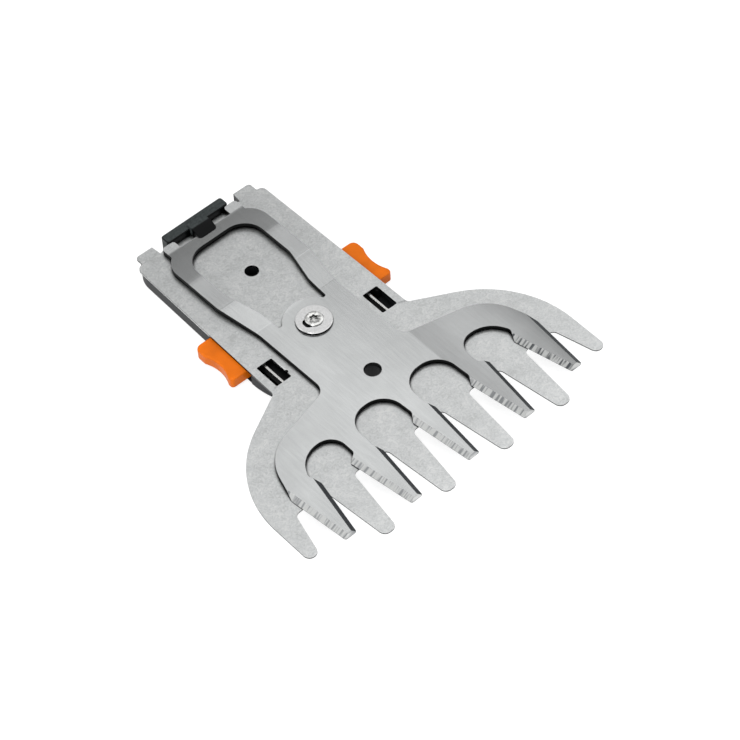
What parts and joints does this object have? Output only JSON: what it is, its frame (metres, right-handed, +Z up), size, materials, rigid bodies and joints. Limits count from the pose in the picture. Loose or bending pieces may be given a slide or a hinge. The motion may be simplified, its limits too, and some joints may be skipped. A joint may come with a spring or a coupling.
{
  "type": "grass shears blade",
  "caption": "Cutting head for cordless grass shears: fixed comb plate, swinging upper comb on a screw pivot, plastic tray and side release buttons.",
  "frame": {"origin": "where the pivot axis meets the underside of the tray", "axes": "+Z up along the pivot axis, the teeth point to -Y, +X to the right seen from above"},
  "size_m": [0.1232, 0.1412, 0.0095],
  "materials": {
    "comb_steel": "matte tumbled hardened steel with dark cut edges",
    "ground_steel": "satin rolled steel with ground bevels",
    "black_steel": "black phosphated",
    "zinc_steel": "bright zinc plate",
    "spring_steel": "bright drawn spring steel",
    "black_plastic": "satin moulded",
    "tray_plastic": "fine moulded grain",
    "orange_plastic": "smooth moulded"
  },
  "bodies": {
    "frame": {"lower_blade": "comb_steel", "base_tray": "tray_plastic", "pivot_screw": "zinc_steel", "pivot_washer": "zinc_steel", "pivot_bush": "black_steel", "pivot_spring_washer": "spring_steel", "pivot_lock_nut": "zinc_steel", "right_button_spring": "spring_steel", "left_button_spring": "spring_steel", "tray_screw_1": "zinc_steel", "tray_screw_2": "zinc_steel", "tray_screw_3": "zinc_steel", "tray_screw_4": "zinc_steel", "weld_nut_1": "zinc_steel", "weld_nut_2": "zinc_steel", "weld_nut_3": "zinc_steel", "weld_nut_4": "zinc_steel"},
    "cutter": {"upper_blade": "ground_steel", "guide_shoe": "black_plastic"},
    "right_release": {"right_button": "orange_plastic", "right_latch_slide": "black_plastic", "right_latch_bar": "spring_steel"},
    "left_release": {"left_button": "orange_plastic", "left_latch_slide": "black_plastic", "left_latch_bar": "spring_steel"}
  },
  "joints": [
    {"name": "blade_swing", "type": "hinge", "parent": "frame", "child": "cutter", "pos_m": [0, 0, 0.007], "axis": [0, 0, 1], "range_deg": [-4.33, 2.67]},
    {"name": "right_press", "type": "slide", "parent": "frame", "child": "right_release", "axis": [-1, 0, 0], "range_m": [0, 0.002], "stiffness_N_per_m": 2000, "springref_m": -0.001, "deforming": ["right_button_spring"]},
    {"name": "left_press", "type": "slide", "parent": "frame", "child": "left_release", "axis": [1, 0, 0], "range_m": [0, 0.002], "stiffness_N_per_m": 2000, "springref_m": -0.001, "deforming": ["left_button_spring"]}
  ]
}
